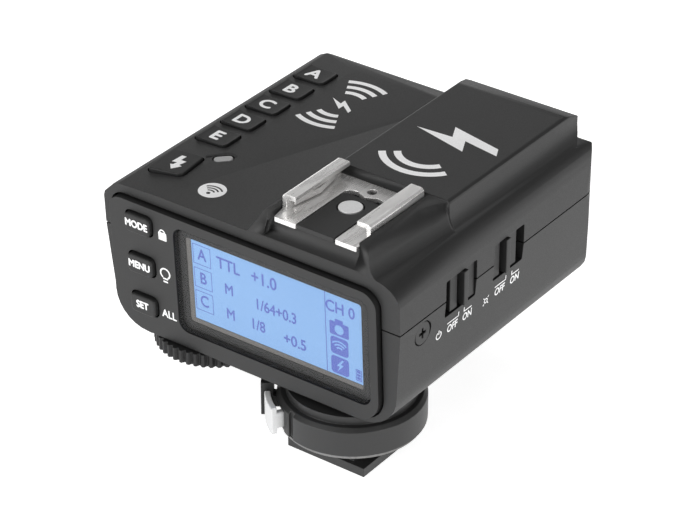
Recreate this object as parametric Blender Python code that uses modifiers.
"""Wireless flash trigger: a radio remote that slides into a camera's accessory shoe.

+X is the switch side, +Y points away from the display, +Z is up. The origin is the centre of the
foot plate's lower face. Every length below is in millimetres and becomes metres in the helpers.
"""
import math

import bmesh
import bpy
from mathutils import Matrix, Vector

MM = 0.001
GAP = 0.3                    # clearance between neighbouring pieces
WALL = 1.8                   # thickness of the moulded covers

# Body
LEFT = -51.9
RIGHT = 19.7
FRONT = 58.1
BOTTOM = 15.0
TOP = 49.1
SEAM = 38.3
CORNER_X = 8.8               # lower corners, seen from the rear
CORNER_Z = 8.5
DRAFT = 1.2                  # the walls lean in by this much below the seam
SHOULDER_BASE = 44.5
LEFT_CHAMFER = 3.8           # leg of the flat along the top left edge
LEFT_FALL = 0.45             # the top falls this far from KEY_FALL_X to that flat
KEY_FALL_X = -38.0
FRONT_LEFT_RADIUS = 9.5      # plan corners of the front wall
FRONT_RIGHT_RADIUS = 5.0
REAR_TILT = math.atan(0.046)
REAR_Y = -11.93              # rear plane at height REAR_Z
REAR_Z = 38.2

# Raised shoe tower and hump
TOWER_TOP = 55.8
TOWER_LEFT = -11.1
TOWER_RIGHT = 12.8
TOWER_FLARE = 3.0            # its right wall sweeps out this far to meet the hump
TOWER_FLARE_Y = 3.0
HUMP_REAR = 9.5
HUMP_TOP = 56.2
HUMP_LEFT = -9.9
HUMP_RIGHT = 15.8
SLOPE = 4.7                  # the left flank runs out this far at its foot

# Accessory shoe on top
CHANNEL_HALF = 10.6
CHANNEL_FLOOR = 52.9
RECESS_Y = -9.8              # depth of the recess under the bracket's tab
PLATE_TOP = 54.2
SHEET = 1.0
RAIL_HALF = 10.3
RAIL_GAP_HALF = 7.15
RAIL_TOP = 57.4
RAIL_REAR = -8.4
RAIL_FRONT = 9.0
TAB_REAR = -12.0
BLOCK_HALF = 4.3
PAD_Y = -0.6
PAD_RADIUS = 2.4

# Rear panel, its window and its buttons, in the tilted rear plane
PANEL_OUT = 1.2
PANEL_IN = 1.5
PANEL_GAP = 0.4
BUTTON_X = -42.1
BUTTON_SIZE = (6.3, 4.3)
BUTTON_HEIGHTS = {"mode_button": 42.0, "menu_button": 32.4, "set_button": 22.9}
BUTTON_OUT = 2.2
GLASS = (-33.3, 13.0, 20.2, 44.0)
SCREEN = (-31.9, 11.3, 21.6, 42.6)

# Keys on the top
KEY_X = -43.25
KEY_SIZE = (7.9, 5.7)
KEY_FIRST_Y = 46.1
KEY_PITCH = 8.2
KEY_TOP = 49.55
KEY_BOTTOM = 46.1
KEY_BOARD_TOP = 44.8
KEY_SCOOP = 0.25             # depth of the finger hollow
TEST_TOP = 49.6
STATUS_CENTRE = (-36.8, 6.9)
STATUS_TURN = math.radians(46.0)

# Selector dial
DIAL_CENTRE = (-33.4, -0.9)
DIAL_RADIUS = 12.7
DIAL_LOW = 13.0
DIAL_HIGH = 15.9
DIAL_TEETH = 48

# Slide switches in the right wall
SLOT_Y = {"power_switch": 8.4, "focus_lamp_switch": 24.9}
SLOT_LENGTH = 10.4
SLOT_HEIGHT = 8.2
SLOT_Z = 38.6
SLIDER_LENGTH = 8.2
SLIDER_REST = {"power_switch": 0.95, "focus_lamp_switch": -0.95}
SCREW_Y = -4.0
SCREW_Z = 34.9
SCREW_RADIUS = 2.4
SCREW_CROSS = (2.2, 0.55)    # length and width of each arm of its recess

# Foot
FOOT_HALF_X = 9.3
FOOT_HALF_Y = 9.0
FOOT_THICK = 2.0
NECK_HALF_X = 6.2
NECK_HALF_Y = 8.0
NECK_TOP = 5.3
COLLAR_RADIUS = 15.0
COLLAR_LOW = 6.5
COLLAR_HIGH = 12.8
PIN_Y = 6.0
CONTACT_RADIUS = 0.75
LEVER_SWEEP = 26.0           # how far the lever turns, in degrees
LEVER_ARM = (208.0, 217.0)   # angles the black arm and the pale tab span at rest
LEVER_TAB = (218.4, 240.6)
LEVER_STEM = (235.5, 240.6)

# Battery bay
CELL_RADIUS = 7.1
NUB_RADIUS = 2.7
CELL_LENGTH = 50.0
CELL_X = (-41.0, -26.2)
CELL_Y = 2.6
CELL_Z = 25.2
DOOR = (-60.0, -19.0, 14.5, 53.0)
DOOR_TOP = 23.5

# Sockets in the left wall
SOCKET_FACE = LEFT + 0.7
PORT_Z = 35.0
PORT_Y = 27.7
JACK_Y = 40.0
JACK_Z = 34.9
JACK_RADIUS = 2.3

# Focus-assist lamp in the front wall: x, z, x, z
LAMP = (-3.7, 40.9, 9.7, 46.1)

PARTS = None
CUTTERS = None


# ---------------------------------------------------------------------------- helpers

def clear_scene():
    """Empty the file and make the two collections."""
    global PARTS, CUTTERS
    for thing in list(bpy.data.objects):
        bpy.data.objects.remove(thing, do_unlink=True)
    PARTS = bpy.data.collections.new("wireless_flash_trigger")
    CUTTERS = bpy.data.collections.new("cutters")
    for group in (PARTS, CUTTERS):
        bpy.context.scene.collection.children.link(group)


def material(name, colour, roughness, metallic=0.0, alpha=1.0):
    """A Principled material for one piece."""
    made = bpy.data.materials.new(name)
    made.use_nodes = True
    shader = made.node_tree.nodes["Principled BSDF"]
    shader.inputs["Base Color"].default_value = (*colour, 1.0)
    shader.inputs["Roughness"].default_value = roughness
    shader.inputs["Metallic"].default_value = metallic
    shader.inputs["Alpha"].default_value = alpha
    return made


def black_plastic(name):
    return material(name, (0.035, 0.035, 0.037), 0.55)


def soft_black(name):
    return material(name, (0.02, 0.02, 0.021), 0.7)


def steel(name):
    return material(name, (0.62, 0.61, 0.58), 0.3, 1.0)


def gold(name):
    return material(name, (0.75, 0.55, 0.22), 0.3, 1.0)


def board_green(name):
    return material(name, (0.03, 0.16, 0.07), 0.5)


def publish(name, bm):
    """Turn a bmesh, in millimetres, into a cutter-side object in metres."""
    bmesh.ops.recalc_face_normals(bm, faces=bm.faces)
    bmesh.ops.scale(bm, vec=(MM, MM, MM), verts=bm.verts)
    mesh = bpy.data.meshes.new(name)
    bm.to_mesh(mesh)
    bm.free()
    made = bpy.data.objects.new(name, mesh)
    made.hide_render = True
    made.display_type = "WIRE"
    CUTTERS.objects.link(made)
    return made


def finish(made, finish_material, pivot=None):
    """Make an object a sub-part of the trigger, with its origin on its joint's axis."""
    CUTTERS.objects.unlink(made)
    PARTS.objects.link(made)
    made.hide_render = False
    made.display_type = "TEXTURED"
    made.data.materials.append(finish_material(made.name))
    if pivot is not None:
        shift = Vector(pivot) * MM
        made.data.transform(Matrix.Translation(-shift))
        made.location = made.location + shift
    return made


def boolean(target, tool, operation="DIFFERENCE"):
    """Cut, join or intersect a target with a tool, exactly."""
    step = target.modifiers.new(operation.lower(), "BOOLEAN")
    step.operation = operation
    step.solver = "EXACT"
    step.object = tool
    return target


def solid(target, name):
    """A new object that holds a modified object's finished mesh."""
    bpy.context.view_layer.update()
    graph = bpy.context.evaluated_depsgraph_get()
    mesh = bpy.data.meshes.new_from_object(target.evaluated_get(graph))
    mesh.name = name
    made = bpy.data.objects.new(name, mesh)
    made.matrix_world = target.matrix_world
    made.hide_render = True
    made.display_type = "WIRE"
    CUTTERS.objects.link(made)
    return made


def place(plane, a, b, level):
    """A 2D outline point as a 3D point, by the axis the outline is extruded along."""
    if plane == "X":
        return (level, a, b)
    if plane == "Y":
        return (a, level, b)
    return (a, b, level)


def prism(name, outline, plane, low, high):
    """Extrude a closed outline along X, Y or Z."""
    bm = bmesh.new()
    ring = [bm.verts.new(place(plane, a, b, low)) for a, b in outline]
    face = bm.faces.new(ring)
    raised = bmesh.ops.extrude_face_region(bm, geom=[face])
    moved = [item for item in raised["geom"] if isinstance(item, bmesh.types.BMVert)]
    bmesh.ops.translate(bm, verts=moved, vec=place(plane, 0, 0, high - low))
    return publish(name, bm)


def loft(name, sections):
    """Skin rings that have the same number of points, and close both ends."""
    bm = bmesh.new()
    rings = [[bm.verts.new(point) for point in section] for section in sections]
    count = len(rings[0])
    for before, after in zip(rings, rings[1:]):
        for i in range(count):
            j = (i + 1) % count
            bm.faces.new((before[i], before[j], after[j], after[i]))
    bm.faces.new(rings[0])
    bm.faces.new(rings[-1])
    return publish(name, bm)


def box(name, low, high):
    """An axis-aligned block between two corners."""
    bm = bmesh.new()
    bmesh.ops.create_cube(bm, size=1.0)
    size = [b - a for a, b in zip(low, high)]
    middle = [(a + b) / 2 for a, b in zip(low, high)]
    bmesh.ops.scale(bm, vec=size, verts=bm.verts)
    bmesh.ops.translate(bm, vec=middle, verts=bm.verts)
    return publish(name, bm)


def cylinder(name, centre, radius, low, high, axis="Z", segments=32, radius_high=None):
    """A cylinder or cone along X, Y or Z; centre gives the other two coordinates."""
    bm = bmesh.new()
    bmesh.ops.create_cone(
        bm, cap_ends=True, segments=segments, radius1=radius,
        radius2=radius if radius_high is None else radius_high, depth=high - low,
    )
    bmesh.ops.translate(bm, vec=(0, 0, (low + high) / 2), verts=bm.verts)
    turn = {"Z": Matrix(), "Y": Matrix.Rotation(-math.pi / 2, 4, "X"),
            "X": Matrix.Rotation(math.pi / 2, 4, "Y")}[axis]
    bmesh.ops.transform(bm, matrix=turn, verts=bm.verts)
    bmesh.ops.translate(bm, vec=place(axis, centre[0], centre[1], 0), verts=bm.verts)
    return publish(name, bm)


def turned(name, profile, steps=48):
    """Turn a closed (radius, height) profile around the Z axis with a Screw modifier."""
    bm = bmesh.new()
    ring = [bm.verts.new((radius, 0, height)) for radius, height in profile]
    for i, vert in enumerate(ring):
        bm.edges.new((vert, ring[(i + 1) % len(ring)]))
    made = publish(name, bm)
    step = made.modifiers.new("turn", "SCREW")
    step.steps = steps
    step.render_steps = steps
    step.use_merge_vertices = True
    step.merge_threshold = 0.00001
    step.use_normal_calculate = True
    made_solid = solid(made, name)
    bpy.data.objects.remove(made)
    made_solid.name = name
    fix_normals(made_solid)
    return made_solid


def fix_normals(made):
    """Point a mesh's faces outward."""
    bm = bmesh.new()
    bm.from_mesh(made.data)
    bmesh.ops.recalc_face_normals(bm, faces=bm.faces)
    bm.to_mesh(made.data)
    bm.free()


def arc(centre, radii, start, end, count):
    """Points of an elliptical arc between two angles in degrees."""
    points = []
    for i in range(count + 1):
        angle = math.radians(start + (end - start) * i / count)
        points.append((centre[0] + radii[0] * math.cos(angle), centre[1] + radii[1] * math.sin(angle)))
    return points


def rounded(corners, count=4):
    """A closed outline from (a, b, radius) corners; a zero radius stays sharp."""
    outline = []
    total = len(corners)
    for i, (a, b, radius) in enumerate(corners):
        here = Vector((a, b))
        if radius == 0:
            outline.append((a, b))
            continue
        back = (Vector(corners[i - 1][:2]) - here).normalized()
        ahead = (Vector(corners[(i + 1) % total][:2]) - here).normalized()
        half = back.angle(ahead) / 2
        reach = radius / math.tan(half)
        centre = here + (back + ahead).normalized() * (radius / math.sin(half))
        first = here + back * reach - centre
        sweep = first.angle_signed(here + ahead * reach - centre)
        for k in range(count + 1):
            angle = -sweep * k / count
            turn = Matrix.Rotation(angle, 2)
            point = centre + turn @ first
            outline.append((point.x, point.y))
    return outline


def rounded_box(low, high, radius, count=4):
    """A rounded rectangle as an outline."""
    return rounded([(low[0], low[1], radius), (high[0], low[1], radius),
                    (high[0], high[1], radius), (low[0], high[1], radius)], count)


# ---------------------------------------------------------------------------- body shells

def shoulder_foot(y):
    """Where the raised part's right flank meets the shoulder, as (x, z), at a station y."""
    share = min(max((y - REAR_Y) / (HUMP_REAR - REAR_Y), 0.0), 1.0)
    return (TOWER_RIGHT + 3.0 * share, TOP + 1.4 * share)


def body_section(y, inset):
    """The body's outline seen from the rear, at a station y and inset from the surface."""
    foot_x, foot_z = shoulder_foot(y)
    right, left = RIGHT - inset, LEFT + inset
    low, top = BOTTOM + inset, TOP - inset
    foot_z -= inset
    rx, rz = CORNER_X - inset, CORNER_Z - inset
    knee = BOTTOM + CORNER_Z
    points = arc((left + DRAFT + rx, knee), (rx, rz), 180, 270, 8)
    points += arc((right - DRAFT - rx, knee), (rx, rz), 270, 360, 8)
    points += [(right, SEAM)]
    shoulder = (right - foot_x + inset, foot_z - SHOULDER_BASE)
    points += arc((foot_x - inset, SHOULDER_BASE), shoulder, 0, 90, 8)
    points += [(foot_x - 4.0, foot_z), (0.0, top), (KEY_FALL_X, top)]
    leg = LEFT_CHAMFER - (2 - math.sqrt(2)) * inset
    edge_x, edge_z = left + leg - LEFT_FALL, top - LEFT_FALL
    points += [(edge_x + 0.7, edge_z), (edge_x - 0.4, edge_z - 0.3)]
    points += [(left + 0.3, top - leg + 0.4), (left, top - leg - 0.7), (left, SEAM)]
    return [(x, y, z) for x, z in points]


def rear_at(z):
    """The rear plane's y at a height."""
    return REAR_Y + math.tan(REAR_TILT) * (REAR_Z - z)


def body_form(name, inset):
    """The rounded body: lofted rear-view sections trimmed by a side view and a plan view."""
    stations = (-20.0, REAR_Y, HUMP_REAR, 62.0)
    form = loft(name, [body_section(y, inset) for y in stations])
    low, top = 5.0, 60.0
    front = FRONT - inset
    side = [(rear_at(low) + inset, low), (48.0, low), (front - 6.4, BOTTOM + inset - 0.01)]
    side += arc((front - 6.9, BOTTOM + 7.0), (6.3, 7.0 - inset), 280, 360, 6)
    brow = rounded([(front, SEAM, 0), (front - 0.25, TOP - 0.6 - inset, 2.0),
                    (front - 5.7, TOP - inset, 0), (front - 11.0, TOP + 1.5 - inset, 0)], 6)
    side += brow + [(front - 11.1, top), (rear_at(top) + inset, top)]
    boolean(form, prism(name + "_side", side, "X", LEFT - 5, RIGHT + 5), "INTERSECT")
    plan = rounded([(LEFT + inset, -22, 0), (RIGHT - inset, -22, 0),
                    (RIGHT - inset, front, FRONT_RIGHT_RADIUS - inset),
                    (LEFT + inset, front, FRONT_LEFT_RADIUS - inset)], 6)
    boolean(form, prism(name + "_plan", plan, "Z", 0, 70), "INTERSECT")
    return solid(form, name + "_solid")


def flank_foot(x, z):
    """The hollow curve by which a right-hand flank runs out onto the shoulder at (x, z)."""
    return [(x + 0.05, z + 2.6), (x + 0.45, z + 1.1), (x + 1.1, z + 0.15), (x + 2.0, z - 1.1)]


def tower_form():
    """The raised block that carries the shoe; its right flank sweeps out to meet the hump."""
    foot = TOP - 2.0
    ends = []
    for y in (rear_at(TOP) + 0.02, TOWER_FLARE_Y, 5.4, 7.4, 8.8, HUMP_REAR + GAP):
        reach_x, reach_z = shoulder_foot(y)
        share = max(0.0, (y - TOWER_FLARE_Y) / (HUMP_REAR + GAP - TOWER_FLARE_Y))
        edge = min(TOWER_RIGHT + TOWER_FLARE * share ** 2.3, reach_x)
        curve = flank_foot(reach_x, reach_z)
        outline = [(TOWER_LEFT - SLOPE - 1.4, foot), (TOWER_LEFT, TOWER_TOP), (edge, TOWER_TOP)]
        outline += curve + [(curve[-1][0], foot)]
        ends.append([(x, y, z) for x, z in outline])
    return loft("tower", ends)


def hump_form():
    """The hump in front of the shoe, sloped on the left and rolled over at the front."""
    foot, base = TOP - 2.0, TOP - 5.0
    curve = flank_foot(*shoulder_foot(HUMP_REAR))
    edge = HUMP_LEFT - SLOPE - 1.4
    face = [(edge, foot, 0), (edge, base, 0), (curve[-1][0], base, 0)]
    face += [(x, z, 0) for x, z in reversed(curve)]
    face = rounded(face + [(HUMP_RIGHT, HUMP_TOP, 0.8), (HUMP_LEFT, HUMP_TOP, 0.8)], 3)
    hump = prism("hump", face, "Y", HUMP_REAR, 62.0)
    side = rounded([(HUMP_REAR - 1, base, 0), (FRONT - 0.3, base, 0), (FRONT - 0.4, 51.0, 3.0),
                    (FRONT - 3.2, HUMP_TOP - 1.45, 3.0), (FRONT - 8.0, HUMP_TOP, 6.0),
                    (HUMP_REAR - 1, HUMP_TOP, 0)], 5)
    boolean(hump, prism("hump_side", side, "X", -40, 40), "INTERSECT")
    left, right = HUMP_LEFT - 5.1, curve[-1][0] + 0.3
    plan = rounded([(left, HUMP_REAR - 2, 0), (right, HUMP_REAR - 2, 0),
                    (right, FRONT - 0.3, 9.0), (left, FRONT - 0.3, 14.0)], 10)
    boolean(hump, prism("hump_plan", plan, "Z", 30, 70), "INTERSECT")
    return solid(hump, "hump_solid")


def rear_local(name, outline, near, far):
    """Extrude an outline of the rear view along the tilted rear plane's normal."""
    moved = [(x, z - REAR_Z) for x, z in outline]
    made = prism(name, moved, "Y", near, far)
    made.location = (0, REAR_Y * MM, REAR_Z * MM)
    made.rotation_euler = (REAR_TILT, 0, 0)
    return made


def panel_outline(grow=0.0):
    """The rear panel's outline, with large lower corners."""
    return rounded([(-49.7 - grow, 16.2 - grow, 7.6 + grow), (15.1 + grow, 16.2 - grow, 5.6 + grow),
                    (15.1 + grow, 46.2 + grow, 3.6 + grow), (-49.7 - grow, 46.4 + grow, 3.0 + grow)], 7)


def key_outlines(grow=0.0):
    """Outlines of the five group keys."""
    outlines = {}
    half_x, half_y = KEY_SIZE[0] / 2 + grow, KEY_SIZE[1] / 2 + grow
    for i, letter in enumerate("abcde"):
        y = KEY_FIRST_Y - KEY_PITCH * i
        low, high = (KEY_X - half_x, y - half_y), (KEY_X + half_x, y + half_y)
        outlines["group_key_" + letter] = rounded_box(low, high, 1.0 + grow)
    return outlines


def test_outline(grow=0.0):
    """The test button's lozenge."""
    corners = [(-46.5 - grow, -5.5 - grow, 1.0 + grow), (-38.9 + grow, -3.6 - grow, 1.3 + grow),
               (-39.8 + grow, 4.7 + grow, 0.8 + grow), (-46.8 - grow, 3.8 + grow, 1.0 + grow)]
    return rounded(corners, 3)


def status_outline(grow=0.0):
    """The status light's pill, set diagonally."""
    pill = rounded_box((-1.97 - grow, -0.95 - grow), (1.97 + grow, 0.95 + grow), 0.9 + grow, 4)
    turn = Matrix.Rotation(STATUS_TURN, 2)
    return [tuple(Vector(STATUS_CENTRE) + turn @ Vector(point)) for point in pill]


def slot_box(name, grow, low_x, high_x):
    """A switch slot's block, wide enough for its slider to travel."""
    half_y, half_z = SLOT_LENGTH / 2 + grow, SLOT_HEIGHT / 2 + grow
    middle = SLOT_Y[name]
    outline = rounded_box((middle - half_y, SLOT_Z - half_z), (middle + half_y, SLOT_Z + half_z), 0.4, 2)
    return prism(name + "_slot", outline, "X", low_x, high_x)


def make_covers():
    """The two cover halves, split at the seam and opened for everything that passes through."""
    outer = body_form("outer", 0.0)
    boolean(outer, tower_form(), "UNION")
    boolean(outer, hump_form(), "UNION")
    whole = solid(outer, "whole")
    boolean(whole, body_form("inner", WALL))
    hump_high = (HUMP_RIGHT - 2, FRONT - 8, HUMP_TOP - WALL)
    boolean(whole, box("hump_hollow", (HUMP_LEFT - 1, HUMP_REAR + 2.4, 44), hump_high))
    tower_high = (TOWER_RIGHT - 2.2, HUMP_REAR + 3, CHANNEL_FLOOR - WALL)
    boolean(whole, box("tower_hollow", (TOWER_LEFT + 1, RECESS_Y + 2.4, 44), tower_high))
    channel = box("channel", (-CHANNEL_HALF, -20, CHANNEL_FLOOR), (CHANNEL_HALF, HUMP_REAR, 70))
    boolean(whole, channel)
    recess = [(-12.0, 49.5), (9.4, 49.5), (CHANNEL_HALF, 53.3), (-CHANNEL_HALF - 0.3, 53.3)]
    boolean(whole, prism("rear_recess", recess, "Y", -20, RECESS_Y))
    boolean(whole, rear_local("panel_opening", panel_outline(PANEL_GAP), -6, WALL + 1.0))
    for name in SLOT_Y:
        boolean(whole, slot_box(name, 0.0, RIGHT - WALL - 1.5, RIGHT + 3))
    well = cylinder("screw_well", (SCREW_Y, SCREW_Z), SCREW_RADIUS + GAP, RIGHT - 1.5, RIGHT + 3, "X")
    boolean(whole, well)
    shell = solid(whole, "shell")

    above = box("above_seam", (-80, -40, SEAM + GAP / 2), (80, 90, 90))
    top = boolean(solid(shell, "top_cover"), above, "INTERSECT")
    for name, outline in key_outlines(GAP).items():
        boolean(top, prism(name + "_window", outline, "Z", 40, 60))
    boolean(top, prism("test_window", test_outline(GAP), "Z", 40, 60))
    boolean(top, prism("status_window", status_outline(GAP), "Z", 40, 60))
    lamp = rounded_box((LAMP[0] - GAP, LAMP[1] - GAP), (LAMP[2] + GAP, LAMP[3] + GAP), 1.5)
    boolean(top, prism("lamp_window", lamp, "Y", 50, 60))
    finish(top, black_plastic)

    below = box("below_seam", (-80, -40, 0), (80, 90, SEAM - GAP / 2))
    low = boolean(solid(shell, "bottom_cover"), below, "INTERSECT")
    door_high = (DOOR[1] + GAP, DOOR[3] + GAP, DOOR_TOP + GAP)
    boolean(low, box("door_cut", (DOOR[0], DOOR[2] - GAP, 5), door_high))
    boolean(low, cylinder("dial_recess", DIAL_CENTRE, DIAL_RADIUS + 0.6, 5, DIAL_HIGH + GAP, segments=48))
    boolean(low, cylinder("shaft_hole", DIAL_CENTRE, 1.8, 5, 30))
    boolean(low, cylinder("wire_hole", (0, 0), 2.6, 5, 30))
    boolean(low, prism("usb_window", port_outline(GAP), "X", -60, -40))
    boolean(low, cylinder("jack_window", (JACK_Y, JACK_Z), JACK_RADIUS + GAP, -60, -40, "X"))
    finish(low, black_plastic)

    door = boolean(shell, box("door_block", (DOOR[0], DOOR[2], 5), (DOOR[1], DOOR[3], DOOR_TOP)), "INTERSECT")
    finish(solid(door, "battery_door"), black_plastic)


# ---------------------------------------------------------------------------- rear panel

def rear_empty():
    """The frame of the tilted rear plane; what sits in it is its child."""
    made = bpy.data.objects.new("rear_plane", None)
    made.location = (0, REAR_Y * MM, REAR_Z * MM)
    made.rotation_euler = (REAR_TILT, 0, 0)
    PARTS.objects.link(made)
    return made


def rear_piece(empty, name, outline, near, far, look, cuts=()):
    """A piece of the rear panel, modelled flat and carried by the rear plane's empty."""
    made = prism(name, [(x, z - REAR_Z) for x, z in outline], "Y", near, far)
    for i, (cut_outline, cut_near, cut_far) in enumerate(cuts):
        moved = [(x, z - REAR_Z) for x, z in cut_outline]
        boolean(made, prism(name + "_cut_" + str(i), moved, "Y", cut_near, cut_far))
    flat = solid(made, name)
    bpy.data.objects.remove(made)
    flat.name = name
    finish(flat, look)
    flat.parent = empty
    return flat


def button_outline(height, grow=0.0):
    half_x, half_z = BUTTON_SIZE[0] / 2 + grow, BUTTON_SIZE[1] / 2 + grow
    low, high = (BUTTON_X - half_x, height - half_z), (BUTTON_X + half_x, height + half_z)
    return rounded_box(low, high, 1.0 + grow, 3)


def make_rear():
    """Rear panel, window, display module, three buttons and their board."""
    empty = rear_empty()
    glass = rounded_box((GLASS[0], GLASS[2]), (GLASS[1], GLASS[3]), 2.0)
    glass_hole = rounded_box((GLASS[0] - GAP, GLASS[2] - GAP), (GLASS[1] + GAP, GLASS[3] + GAP), 2.3)
    cuts = [(glass_hole, -9, 9)]
    for height in BUTTON_HEIGHTS.values():
        cuts.append((button_outline(height, 0.35), -9, 9))
    rear_piece(empty, "rear_panel", panel_outline(), -PANEL_OUT, PANEL_IN, black_plastic, cuts)
    rear_piece(empty, "display_window", glass, -PANEL_OUT + 0.05, 0.0, smoked_glass)
    screen = rounded_box((SCREEN[0], SCREEN[2]), (SCREEN[1], SCREEN[3]), 0.5, 2)
    rear_piece(empty, "display_module", screen, GAP, 4.2, screen_blue)
    for name, height in BUTTON_HEIGHTS.items():
        rear_piece(empty, name, button_outline(height), -BUTTON_OUT, PANEL_IN + 0.3, soft_black)
    board = rounded_box((-47.0, 19.5), (-36.0, 44.5), 0.8, 2)
    rear_piece(empty, "button_board", board, 3.2, 4.2, board_green)


def smoked_glass(name):
    return material(name, (0.06, 0.06, 0.065), 0.08, 0.0, 0.5)


def screen_blue(name):
    return material(name, (0.28, 0.50, 0.88), 0.35)


# ---------------------------------------------------------------------------- top controls

def make_keys():
    """Group keys, test button and status light, each passing through its window."""
    left, right = KEY_X - KEY_SIZE[0] / 2, KEY_X + KEY_SIZE[0] / 2 + 1
    saddle = [(left - 1, KEY_BOTTOM - 1), (right, KEY_BOTTOM - 1), (right, KEY_TOP)]
    saddle += arc((KEY_X + 0.3, KEY_TOP), (3.4, KEY_SCOOP), 360, 180, 10)
    saddle += [(left + 0.5, KEY_TOP - 0.1), (left, KEY_TOP - 0.7), (left - 1, KEY_TOP - 1.7)]
    for name, outline in key_outlines().items():
        key = prism(name, outline, "Z", KEY_BOTTOM, KEY_TOP + 1.0)
        middle = outline_centre(outline)[1]
        shaped = boolean(key, prism(name + "_profile", saddle, "Y", middle - 5, middle + 5), "INTERSECT")
        finish(solid(shaped, "shaped_" + name), soft_black)
        rename_solid("shaped_" + name, key, name)
    finish(prism("test_button", test_outline(), "Z", KEY_BOTTOM, TEST_TOP), soft_black)
    finish(prism("status_light", status_outline(), "Z", KEY_BOTTOM, TOP + 0.05), light_grey)
    finish(box("key_board", (-47.0, -6.0, KEY_BOARD_TOP - 1.2), (-34.2, 49.0, KEY_BOARD_TOP)), board_green)


def outline_centre(outline):
    """The middle of an outline's bounding box."""
    xs = [point[0] for point in outline]
    ys = [point[1] for point in outline]
    return ((min(xs) + max(xs)) / 2, (min(ys) + max(ys)) / 2)


def rename_solid(temporary, source, name):
    """Drop a source object and give its finished solid the source's name."""
    bpy.data.objects.remove(source)
    bpy.data.objects[temporary].name = name


def light_grey(name):
    return material(name, (0.55, 0.56, 0.56), 0.35)


# ---------------------------------------------------------------------------- accessory shoe

def make_shoe():
    """The bent steel bracket with its leaf springs, and the contact block it grips."""
    rail = rounded([(RAIL_HALF - SHEET, PLATE_TOP - SHEET, 0), (RAIL_HALF, PLATE_TOP - SHEET, 0),
                    (RAIL_HALF, RAIL_TOP, 0.8), (RAIL_GAP_HALF, RAIL_TOP, 0.2),
                    (RAIL_GAP_HALF, RAIL_TOP - SHEET, 0.2), (RAIL_HALF - SHEET, RAIL_TOP - SHEET, 0)], 3)
    mouth, tab = BLOCK_HALF + GAP, RAIL_HALF - 0.7
    plate = rounded([(-RAIL_HALF, RAIL_REAR, 0), (-tab, TAB_REAR, 0.3), (-mouth, TAB_REAR, 0.3),
                     (-mouth, 4.6, 1.6), (-2.4, 5.0, 0.4), (0.0, 3.9, 0), (2.4, 5.0, 0.4),
                     (mouth, 4.6, 1.6), (mouth, TAB_REAR, 0.3), (tab, TAB_REAR, 0.3),
                     (RAIL_HALF, RAIL_REAR, 0), (RAIL_HALF, RAIL_FRONT, 0), (-RAIL_HALF, RAIL_FRONT, 0)], 4)
    bracket = prism("bracket_plate", plate, "Z", PLATE_TOP - SHEET, PLATE_TOP)
    for side in (1, -1):
        outline = [(side * x, z) for x, z in rail]
        boolean(bracket, prism("rail_" + str(side), outline, "Y", RAIL_REAR, RAIL_FRONT), "UNION")
    boolean(bracket, cylinder("shoe_hole", (0.0, 6.4), 1.0, 50, 60))
    finish(solid(bracket, "hot_shoe_bracket"), steel)

    for side, name in ((-1, "left_shoe_spring"), (1, "right_shoe_spring")):
        inner = RAIL_HALF - SHEET - 0.35
        leaf = [(side * inner, -6.6), (side * (inner - 0.35), -6.6), (side * (inner - 1.5), 0.0),
                (side * (inner - 0.35), 6.8), (side * inner, 6.8), (side * (inner - 1.15), 0.0)]
        finish(prism(name, leaf, "Z", PLATE_TOP + GAP, PLATE_TOP + 1.6), steel)

    contact = rounded([(-BLOCK_HALF, TAB_REAR + 0.2, 0.3), (BLOCK_HALF, TAB_REAR + 0.2, 0.3),
                       (BLOCK_HALF, 3.4, 1.0), (-BLOCK_HALF, 3.4, 1.0)], 3)
    block = prism("block", contact, "Z", PLATE_TOP - SHEET, PLATE_TOP)
    boolean(block, cylinder("contact_hole", (0.0, PAD_Y), PAD_RADIUS + GAP, 50, 60))
    finish(solid(block, "shoe_contact_block"), soft_black)
    pad = cylinder("shoe_centre_contact", (0.0, PAD_Y), PAD_RADIUS, PLATE_TOP - SHEET, PLATE_TOP + 0.1)
    finish(pad, steel)


# ---------------------------------------------------------------------------- side controls

def make_switches():
    """Two sliders in their slots, with the switch bodies they drive."""
    for name, middle in SLOT_Y.items():
        y = middle + SLIDER_REST[name]
        half = SLIDER_LENGTH / 2
        low, high = SLOT_Z - SLOT_HEIGHT / 2 + GAP, SLOT_Z + SLOT_HEIGHT / 2 - GAP
        face, back, dip, ridge = RIGHT - 0.5, RIGHT - 3.0, RIGHT - 1.5, RIGHT + 0.5
        profile = [(back, y - half), (face, y - half), (face, y - 1.7), (dip, y - 1.7),
                   (dip, y - 0.7), (ridge, y - 0.7), (ridge, y + 0.7), (face, y + 0.7),
                   (face, y + half), (back, y + half)]
        finish(prism(name, profile, "Z", low, high), soft_black, (RIGHT, y, SLOT_Z))
        body_low = (RIGHT - 8.0, middle - 4.6, SLOT_Z - 2.4)
        body_high = (RIGHT - 3.4, middle + 4.6, SLOT_Z + 2.4)
        finish(box(name + "_body", body_low, body_high), steel)


def make_screw(name):
    """A cross-head screw, sunk in its well in the right wall."""
    face = RIGHT - 0.35
    head = cylinder(name, (SCREW_Y, SCREW_Z), SCREW_RADIUS, face - 1.0, face, "X")
    for width, height in (SCREW_CROSS, SCREW_CROSS[::-1]):
        low = (face - 0.8, SCREW_Y - width / 2, SCREW_Z - height / 2)
        high = (face + 0.4, SCREW_Y + width / 2, SCREW_Z + height / 2)
        boolean(head, box(name + "_cross", low, high))
    finish(solid(head, name + "_head"), steel)
    rename_solid(name + "_head", head, name)


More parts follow.
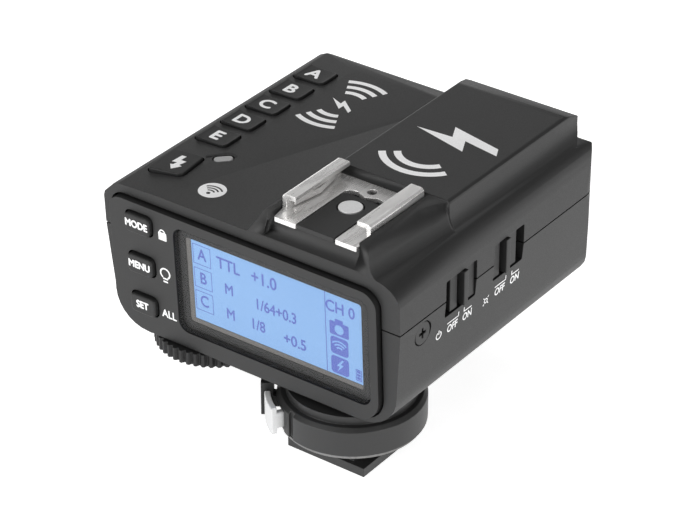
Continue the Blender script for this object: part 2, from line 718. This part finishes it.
def make_dial():
    """The knurled wheel under the body and the encoder that it turns."""
    teeth = []
    for i in range(DIAL_TEETH):
        for share, depth in ((0.0, 0.6), (0.3, 0.0), (0.6, 0.0), (0.9, 0.6)):
            angle = 2 * math.pi * (i + share) / DIAL_TEETH
            point = Vector((math.cos(angle), math.sin(angle))) * (DIAL_RADIUS - depth)
            teeth.append(tuple(Vector(DIAL_CENTRE) + point))
    wheel = prism("wheel", teeth, "Z", DIAL_LOW, DIAL_HIGH)
    dish = cylinder("wheel_dish", DIAL_CENTRE, DIAL_RADIUS - 3.0, DIAL_LOW - 1, DIAL_LOW + 0.8, segments=48)
    boolean(wheel, dish)
    boolean(wheel, cylinder("wheel_bore", DIAL_CENTRE, 1.5 + GAP, DIAL_LOW - 1, DIAL_HIGH + 1))
    finish(solid(wheel, "select_dial"), black_plastic, (*DIAL_CENTRE, DIAL_LOW))
    encoder = cylinder("encoder", DIAL_CENTRE, 1.5, DIAL_LOW + 0.6, 20.0)
    x, y = DIAL_CENTRE
    boolean(encoder, box("encoder_body", (x - 4.0, y - 4.0, 17.3), (x + 4.0, y + 2.2, 21.5)), "UNION")
    finish(solid(encoder, "dial_encoder"), steel)


# ---------------------------------------------------------------------------- foot

def lever_arc(radius_in, radius_out, start, end, count=6):
    """A ring sector's outline around the foot's axis."""
    outer = arc((0, 0), (radius_out, radius_out), start, end, count)
    inner = arc((0, 0), (radius_in, radius_in), end, start, count)
    return outer + inner


def make_foot():
    """Foot plate with its neck, wear plate, collar, lock lever, pin, spring and contacts."""
    half = [(FOOT_HALF_X, 0), (FOOT_HALF_X, FOOT_THICK), (NECK_HALF_X, FOOT_THICK), (NECK_HALF_X, NECK_TOP)]
    shape = half + [(-x, z) for x, z in reversed(half)]
    foot = prism("foot", shape, "Y", -FOOT_HALF_Y, FOOT_HALF_Y)
    for side in (1, -1):
        trim = sorted((side * NECK_HALF_Y, side * 12))
        boolean(foot, box("neck_end", (-12, trim[0], FOOT_THICK), (12, trim[1], 9)))
    boolean(foot, cylinder("pin_hole", (0, PIN_Y), 1.3, -1, 9, segments=24))
    for x, y in contact_places():
        boolean(foot, cylinder("contact_hole", (x, y), CONTACT_RADIUS + 0.25, -1, 1.2, segments=16))
    finish(solid(foot, "foot_plate"), soft_black)

    wear = cylinder("wear", (0, 0), COLLAR_RADIUS - 0.6, NECK_TOP + GAP, COLLAR_LOW - GAP, segments=64)
    boolean(wear, cylinder("wear_hole", (0, PIN_Y), 1.3, 0, 9, segments=24))
    finish(solid(wear, "wear_plate"), steel)

    collar = turned("collar", [(3.0, 11.6), (3.0, 14.6), (13.2, 14.6), (13.2, COLLAR_HIGH),
                               (14.2, COLLAR_HIGH), (COLLAR_RADIUS, COLLAR_HIGH - 0.8),
                               (COLLAR_RADIUS, COLLAR_LOW), (13.6, COLLAR_LOW), (13.6, 11.6)], 64)
    window = lever_arc(12.0, 20.0, LEVER_ARM[0] - LEVER_SWEEP - 3.0, LEVER_STEM[1] + 1.8, 12)
    boolean(collar, prism("lever_window", window, "Z", COLLAR_LOW - 1.0, 11.2))
    groove = lever_arc(COLLAR_RADIUS - 0.6, COLLAR_RADIUS + 2, 250.0, 255.0, 2)
    boolean(collar, prism("collar_groove", groove, "Z", COLLAR_LOW - 1.0, 14.0))
    finish(solid(collar, "foot_collar"), black_plastic)

    arm_low, arm_high = LEVER_ARM
    hub = prism("hub", lever_arc(8.6, 13.2, arm_low - 28, arm_high + 60, 14), "Z", 8.6, 10.6)
    arm = prism("arm", lever_arc(12.6, 17.6, arm_low, arm_high, 4), "Z", 8.2, 10.9)
    guard = prism("guard", lever_arc(15.6, 18.1, arm_low, arm_high, 4), "Z", 6.4, 13.9)
    boolean(hub, arm, "UNION")
    boolean(hub, guard, "UNION")
    finish(solid(hub, "lock_lever"), soft_black)
    tab = prism("tab", lever_arc(16.2, 17.4, *LEVER_TAB, 8), "Z", 6.2, 12.4)
    stem = prism("stem", lever_arc(13.5, 16.8, *LEVER_STEM, 3), "Z", 7.4, 11.0)
    boolean(tab, stem, "UNION")
    finish(solid(tab, "lock_lever_tab"), light_grey)

    pin = cylinder("pin", (0, PIN_Y), 1.0, 0.2, 8.2, segments=24)
    boolean(pin, cylinder("pin_head", (0, PIN_Y), 2.2, 9.6, 10.6, segments=24), "UNION")
    boolean(pin, cylinder("pin_stem", (0, PIN_Y), 1.0, 8.1, 10.0, segments=24), "UNION")
    finish(solid(pin, "lock_pin"), steel)
    make_coil("lock_spring", (0, PIN_Y), 1.75, 0.2, COLLAR_LOW + 0.35, 9.25, 4)

    for i, (x, y) in enumerate(contact_places()):
        name = "foot_contact_" + str(i + 1)
        finish(cylinder(name, (x, y), CONTACT_RADIUS, 0.0, 1.0, segments=16), gold)


def contact_places():
    """The centre contact and four data contacts of the foot."""
    return [(0.0, 0.0), (-3.6, -3.4), (3.6, -3.4), (-3.6, -6.0), (3.6, -6.0)]


def make_coil(name, centre, radius, wire, low, high, turns):
    """A small compression spring as a beveled helix."""
    count = turns * 12
    curve = bpy.data.curves.new(name, "CURVE")
    curve.dimensions = "3D"
    curve.bevel_depth = wire * MM
    curve.bevel_resolution = 1
    curve.use_fill_caps = True
    spline = curve.splines.new("POLY")
    spline.points.add(count)
    for i in range(count + 1):
        angle = 2 * math.pi * turns * i / count
        height = low + wire + (high - low - 2 * wire) * i / count
        point = (centre[0] + radius * math.cos(angle), centre[1] + radius * math.sin(angle), height)
        spline.points[i].co = (*[value * MM for value in point], 1.0)
    made = bpy.data.objects.new(name, curve)
    made.data.materials.append(steel(name))
    PARTS.objects.link(made)
    return made


# ---------------------------------------------------------------------------- inside and front

def port_outline(grow=0.0):
    """The charging port's rounded slot."""
    half_y, half_z = 4.5 + grow, 1.6 + grow
    low, high = (PORT_Y - half_y, PORT_Z - half_z), (PORT_Y + half_y, PORT_Z + half_z)
    return rounded_box(low, high, half_z - 0.05, 5)


def make_inside():
    """Circuit board, radio module, cells and their contacts."""
    finish(box("main_board", (-10.5, -4.0, 30.0), (10.6, 50.0, 31.4)), board_green)
    finish(box("radio_module", (-8.0, 30.0, 31.7), (6.0, 48.0, 34.6)), steel)
    far = CELL_Y + CELL_LENGTH
    nub_ends = ((far - 2.0, far - 0.4), (CELL_Y - 0.6, CELL_Y + 1.0))
    for i, x in enumerate(CELL_X):
        name = "battery_cell_" + str(i + 1)
        cell = cylinder("cell", (x, CELL_Z), CELL_RADIUS, CELL_Y, far - 1.4, "Y", 40)
        nub = cylinder("nub", (x, CELL_Z), NUB_RADIUS, *nub_ends[i], "Y", 24)
        finish(solid(boolean(cell, nub, "UNION"), name), cell_wrap)
    low, high = CELL_X[0] - 4.5, CELL_X[1] + 4.5
    finish(box("battery_link_plate", (low, far - 0.1, 21.5), (high, far + 0.5, 29.6)), steel)
    finish(box("battery_contact_plate", (low, CELL_Y - 1.6, 21.9), (high, CELL_Y - 1.0, 29.6)), steel)

    lens = rounded_box((LAMP[0], LAMP[1]), (LAMP[2], LAMP[3]), 1.2)
    finish(prism("focus_lamp_lens", lens, "Y", FRONT - 3.0, FRONT - 0.2), lamp_red)
    port = prism("port", port_outline(), "X", SOCKET_FACE, -45.5)
    boolean(port, prism("port_mouth", port_outline(-0.4), "X", SOCKET_FACE - 2, -46.2))
    finish(solid(port, "usb_port"), steel)
    jack = cylinder("jack", (JACK_Y, JACK_Z), JACK_RADIUS, SOCKET_FACE, -46.0, "X", 24)
    bore = cylinder("jack_mouth", (JACK_Y, JACK_Z), JACK_RADIUS - 1.0, SOCKET_FACE - 2, -47.0, "X", 24)
    boolean(jack, bore)
    finish(solid(jack, "sync_jack"), soft_black)


def cell_wrap(name):
    return material(name, (0.12, 0.2, 0.42), 0.35)


def lamp_red(name):
    return material(name, (0.30, 0.01, 0.012), 0.12)


def main():
    clear_scene()
    make_covers()
    make_rear()
    make_keys()
    make_shoe()
    make_switches()
    make_screw("case_screw_right")
    make_dial()
    make_foot()
    make_inside()


main()
